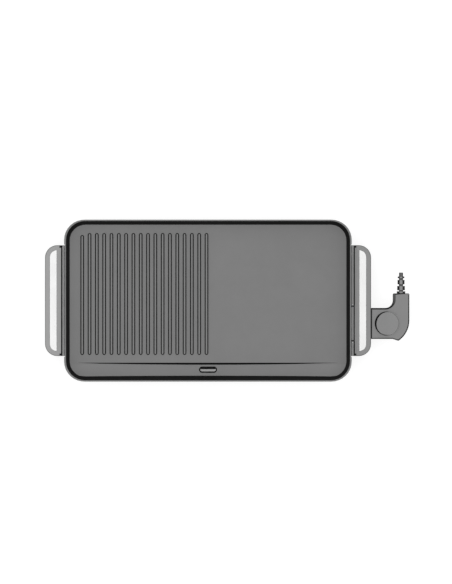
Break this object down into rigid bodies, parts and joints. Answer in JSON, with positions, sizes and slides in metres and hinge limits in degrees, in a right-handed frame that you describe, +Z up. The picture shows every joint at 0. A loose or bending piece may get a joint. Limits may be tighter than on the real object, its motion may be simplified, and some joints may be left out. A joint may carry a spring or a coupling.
{
  "type": "electric grill",
  "caption": "Long electric table grill with a half ribbed, half smooth cooking plate, end handles, a drain with a pull-out drip tray and a plug-in heat control with a dial.",
  "frame": {"origin": "on the table, under the middle of the whole outline", "axes": "+X along the grill towards the heat control, +Y away from the drain side, +Z up"},
  "size_m": [0.6244, 0.2776, 0.0747],
  "materials": {
    "plate_coat": "non-stick coat, matt stone look",
    "steel": "satin",
    "ceramic": "unglazed ceramic look",
    "base_plastic": "fine grain",
    "shield": "mill finish",
    "rubber": "matt",
    "screw_steel": "zinc plated",
    "handle_plastic": "fine grain",
    "inlay": "fine satin",
    "dark_plastic": "fine grain",
    "control_plastic": "fine grain",
    "brass": "satin"
  },
  "bodies": {
    "grill": {"cooking_plate": "plate_coat", "heating_element": "steel", "terminal_seal_front": "ceramic", "terminal_seal_rear": "ceramic", "terminal_pin_front": "steel", "terminal_pin_rear": "steel", "earth_guard": "steel", "base_frame": "base_plastic", "heat_shield": "shield", "foot_front_left": "rubber", "plate_screw_front_left": "screw_steel", "foot_front_right": "rubber", "plate_screw_front_right": "screw_steel", "foot_rear_left": "rubber", "plate_screw_rear_left": "screw_steel", "foot_rear_right": "rubber", "plate_screw_rear_right": "screw_steel", "handle_left": "handle_plastic", "handle_right": "handle_plastic", "handle_inlay_left": "inlay", "handle_inlay_right": "inlay", "handle_cover_left": "dark_plastic", "handle_cover_right_rear": "dark_plastic", "handle_cover_right_front": "dark_plastic", "handle_screw_left_front": "screw_steel", "handle_screw_left_rear": "screw_steel", "handle_screw_right_front": "screw_steel", "handle_screw_right_rear": "screw_steel", "socket_frame": "base_plastic"},
    "drip_tray": {"drip_tray": "base_plastic"},
    "heat_control": {"controller_lower_shell": "control_plastic", "controller_upper_shell": "control_plastic", "contact_block": "dark_plastic", "contact_sleeve_front": "brass", "contact_sleeve_rear": "brass", "probe_rod": "steel", "earth_spring": "brass", "thermostat_frame": "steel", "leaf_insulator": "ceramic", "lower_leaf": "brass", "upper_leaf": "brass", "live_strap": "brass", "neutral_strap": "brass", "cord_terminal_block": "dark_plastic", "cord_clamp": "dark_plastic", "cord_bend_relief": "rubber", "cord_clamp_screw_1": "screw_steel", "cord_clamp_screw_2": "screw_steel", "housing_screw_1": "screw_steel", "housing_screw_2": "screw_steel", "housing_screw_3": "screw_steel"},
    "dial": {"adjusting_spindle": "steel", "temperature_dial": "control_plastic"}
  },
  "joints": [
    {"name": "heat_control_plug", "type": "slide", "parent": "grill", "child": "heat_control", "axis": [1, 0, 0], "range_m": [0, 0.112]},
    {"name": "dial_turn", "type": "hinge", "parent": "heat_control", "child": "dial", "pos_m": [0.27345, -0.03915, 0.0604], "axis": [0, 0, 1], "range_deg": [-270, 0]},
    {"name": "drip_tray_slide", "type": "slide", "parent": "grill", "child": "drip_tray", "axis": [0, -1, 0], "range_m": [0, 0.084]}
  ]
}
